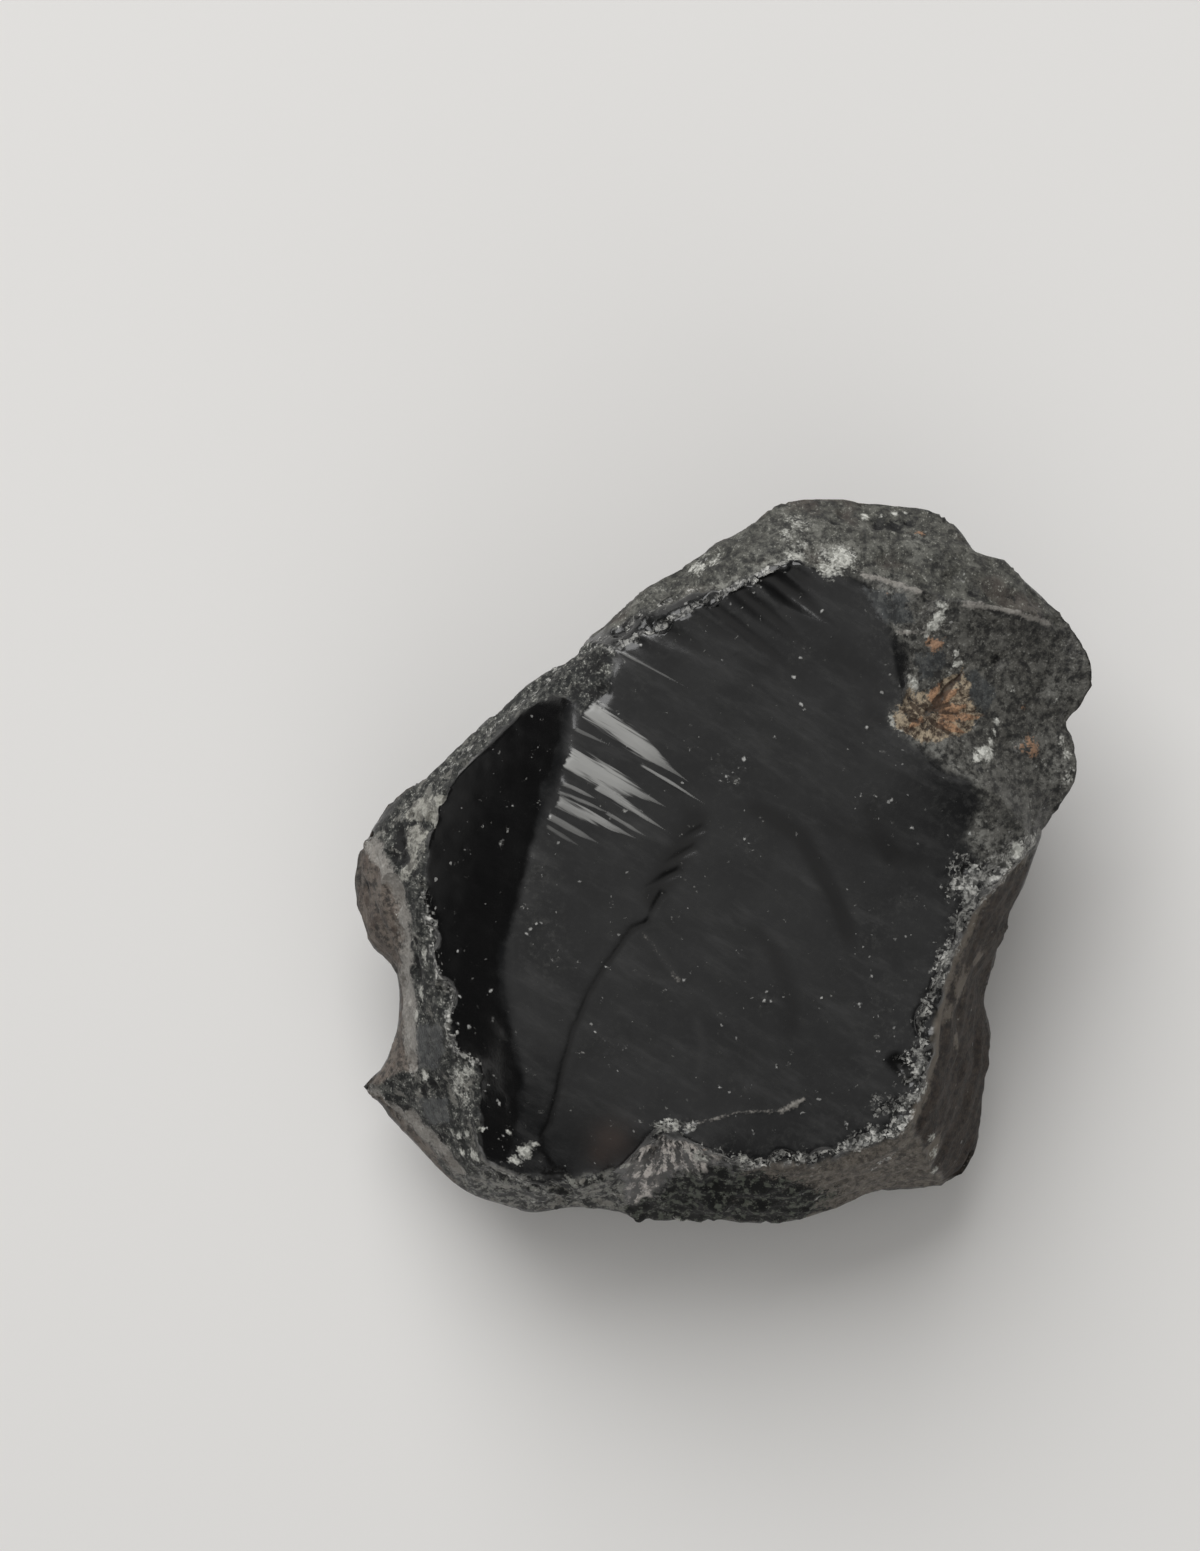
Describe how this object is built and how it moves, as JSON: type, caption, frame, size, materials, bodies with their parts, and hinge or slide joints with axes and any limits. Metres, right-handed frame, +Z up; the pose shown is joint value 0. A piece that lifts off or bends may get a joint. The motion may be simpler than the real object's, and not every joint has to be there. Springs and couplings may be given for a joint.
{
  "type": "obsidian chunk",
  "caption": "Broken lump of black volcanic glass with a large glassy shell-shaped break on top, rough weathered skin at the back and a flat break to lie on.",
  "frame": {"origin": "middle of the outline seen from above, on the plane that the stone lies on", "axes": "+Z up, from the flat break that it lies on towards the large glassy break; +Y towards the weathered skin at the back; +X towards the rough break with the rust"},
  "size_m": [0.0326, 0.0322, 0.016],
  "materials": {
    "obsidian": "glassy black broken faces with bruised pale edges, grey-green weathered skin, brown side walls and rust spots"
  },
  "bodies": {
    "root": {"obsidian_chunk": "obsidian"}
  },
  "joints": []
}
